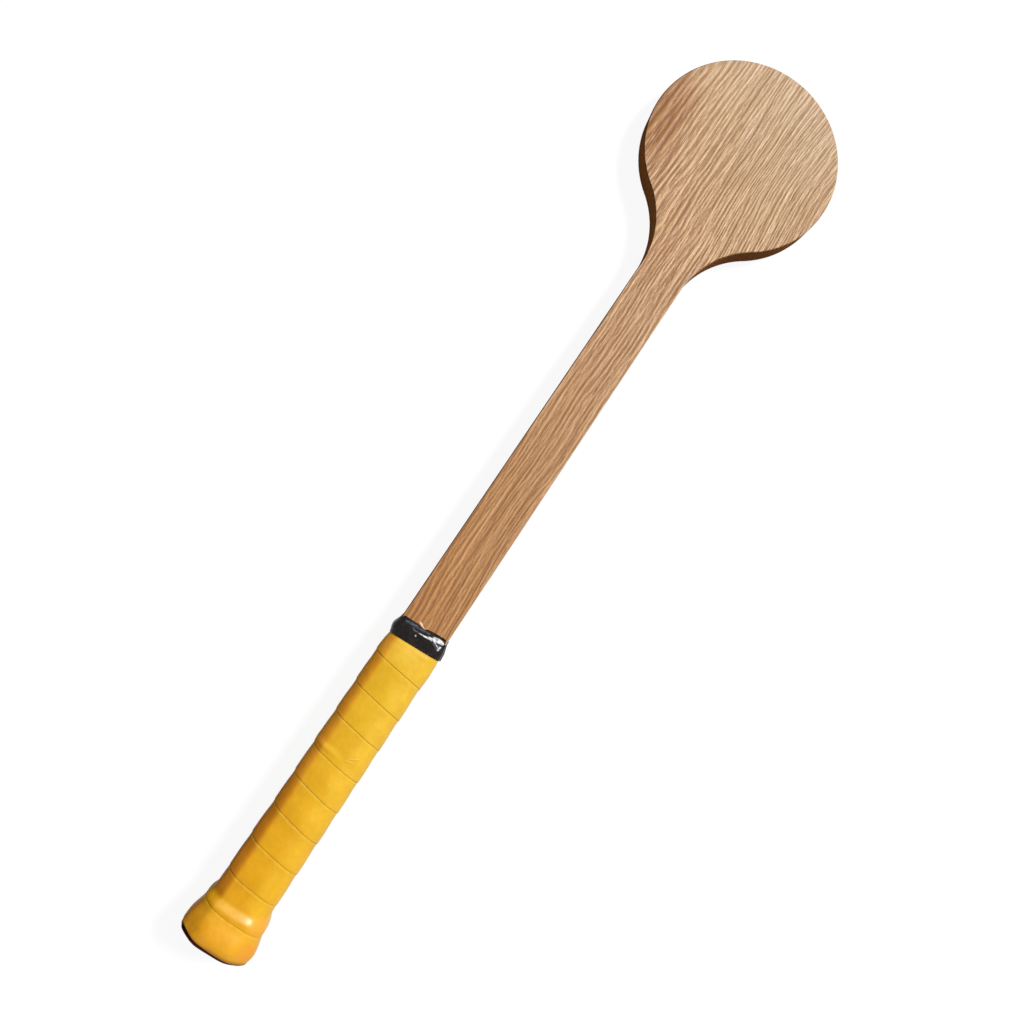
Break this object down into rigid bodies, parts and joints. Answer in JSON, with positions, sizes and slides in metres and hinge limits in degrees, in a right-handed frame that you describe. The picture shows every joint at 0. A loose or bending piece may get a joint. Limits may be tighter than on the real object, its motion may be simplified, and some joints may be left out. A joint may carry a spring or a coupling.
{
  "type": "wooden tennis pointer",
  "caption": "Slim wooden training bat: a small round oak head on a narrow flat neck, with an eight-sided cushioned handle under a spiral overgrip, a taped collar and a flared butt cap.",
  "frame": {"origin": "centre of the butt cap's end panel, on the handle's axis", "axes": "+X along the shaft from the butt to the head's tip, +Z square out of the board's front face, +Y across the head, to the left when the head is up and the front faces the viewer"},
  "size_m": [0.594, 0.12, 0.0394],
  "materials": {
    "oak": "fine sanded, oiled",
    "black_plastic": "moulded satin",
    "tack_steel": "plain",
    "grip_cushion": "matt foam",
    "yellow_overgrip": "smooth tacky polyurethane",
    "black_vinyl": "glossy stretched tape"
  },
  "bodies": {
    "root": {"blade": "oak", "handle_cheek_front": "oak", "handle_cheek_back": "oak", "butt_cap": "black_plastic", "cap_tack_left": "tack_steel", "cap_tack_right": "tack_steel", "base_grip": "grip_cushion", "overgrip": "yellow_overgrip", "finishing_tape": "black_vinyl"}
  },
  "joints": []
}
